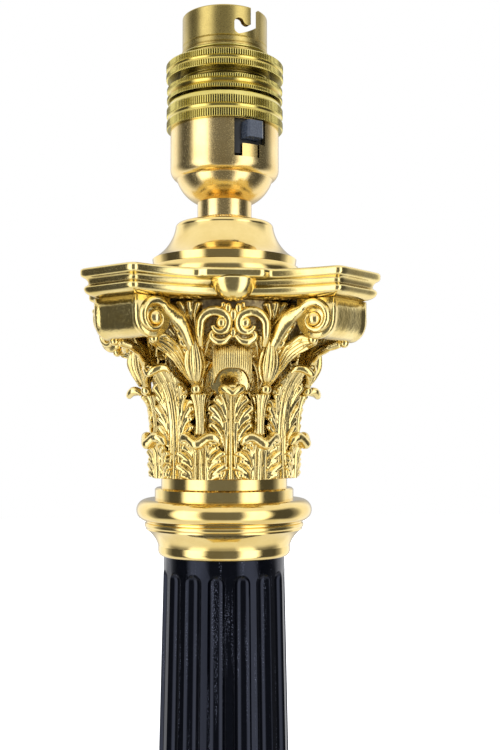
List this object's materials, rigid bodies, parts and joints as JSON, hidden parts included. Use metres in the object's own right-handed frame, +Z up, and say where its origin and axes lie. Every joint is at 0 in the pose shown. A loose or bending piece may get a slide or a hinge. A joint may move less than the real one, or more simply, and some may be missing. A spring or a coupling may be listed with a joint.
{
  "type": "column table lamp",
  "caption": "Corinthian column table lamp in brass and black: stepped plinth, fluted shaft, leafy capital, and a bayonet lampholder with shade rings and a push-bar switch.",
  "frame": {"origin": "centre of the baize pad's underside, on the table", "axes": "+Z up along the column, -Y towards the front face of the capital"},
  "size_m": [0.14, 0.14, 0.4872],
  "materials": {
    "cast_brass": "cast, polished and lacquered",
    "turned_brass": "turned and mirror polished",
    "spun_brass": "spun and polished",
    "aged_brass": "turned, unpolished and slightly aged",
    "raw_brass": "machined",
    "black_enamel": "gloss black enamel",
    "phenolic": "moulded phenolic",
    "ivory_moulding": "moulded",
    "black_nylon": "moulded",
    "plated_steel": "zinc plated",
    "spring_steel": "drawn wire",
    "grey_iron": "as cast",
    "beech": "turned",
    "baize": "green baize"
  },
  "bodies": {
    "lamp": {"baize_pad": "baize", "base_plate": "plated_steel", "base_plate_screws": "plated_steel", "stepped_plinth": "cast_brass", "cable_bush": "black_nylon", "ballast_weight": "grey_iron", "plain_washer": "plated_steel", "earth_tag": "raw_brass", "lock_washer": "plated_steel", "rod_foot_nut": "plated_steel", "tension_rod": "plated_steel", "column_base_ring": "turned_brass", "fluted_shaft": "black_enamel", "centring_discs": "beech", "column_collar": "turned_brass", "capital_seat_ring": "turned_brass", "capital_casting": "cast_brass", "abacus_casting": "cast_brass", "head_washer": "plated_steel", "rod_head_nut": "plated_steel", "bell_cap": "turned_brass", "neck_washer": "raw_brass", "neck_nipple": "turned_brass", "holder_cap": "spun_brass", "switch_housing": "phenolic", "earth_tongue": "raw_brass", "live_terminal": "raw_brass", "neutral_terminal": "raw_brass", "terminal_screws": "plated_steel", "contact_insert": "ivory_moulding", "live_spring": "spring_steel", "neutral_spring": "spring_steel", "bayonet_barrel": "aged_brass", "clamp_ring": "aged_brass"},
    "switch": {"switch_bar": "phenolic", "switch_bridge": "raw_brass"},
    "live_contact": {"live_plunger": "raw_brass"},
    "neutral_contact": {"neutral_plunger": "raw_brass"},
    "lower_ring": {"lower_shade_ring": "aged_brass"},
    "upper_ring": {"upper_shade_ring": "aged_brass"}
  },
  "joints": [
    {"name": "switch_push", "type": "slide", "parent": "lamp", "child": "switch", "axis": [0.4131, -0.9107, 0], "range_m": [-0.0043, 0]},
    {"name": "live_plunger_travel", "type": "slide", "parent": "lamp", "child": "live_contact", "axis": [0, 0, 1], "range_m": [-0.004, 0], "stiffness_N_per_m": 600, "springref_m": 0.004, "deforming": ["live_spring"]},
    {"name": "neutral_plunger_travel", "type": "slide", "parent": "lamp", "child": "neutral_contact", "axis": [0, 0, 1], "range_m": [-0.004, 0], "stiffness_N_per_m": 600, "springref_m": 0.004, "deforming": ["neutral_spring"]},
    {"name": "lower_ring_travel", "type": "slide", "parent": "lamp", "child": "lower_ring", "axis": [0, 0, 1], "range_m": [-0.0008, 0]},
    {"name": "upper_ring_travel", "type": "slide", "parent": "lamp", "child": "upper_ring", "axis": [0, 0, 1], "range_m": [-0.0024, 0.0087]}
  ]
}
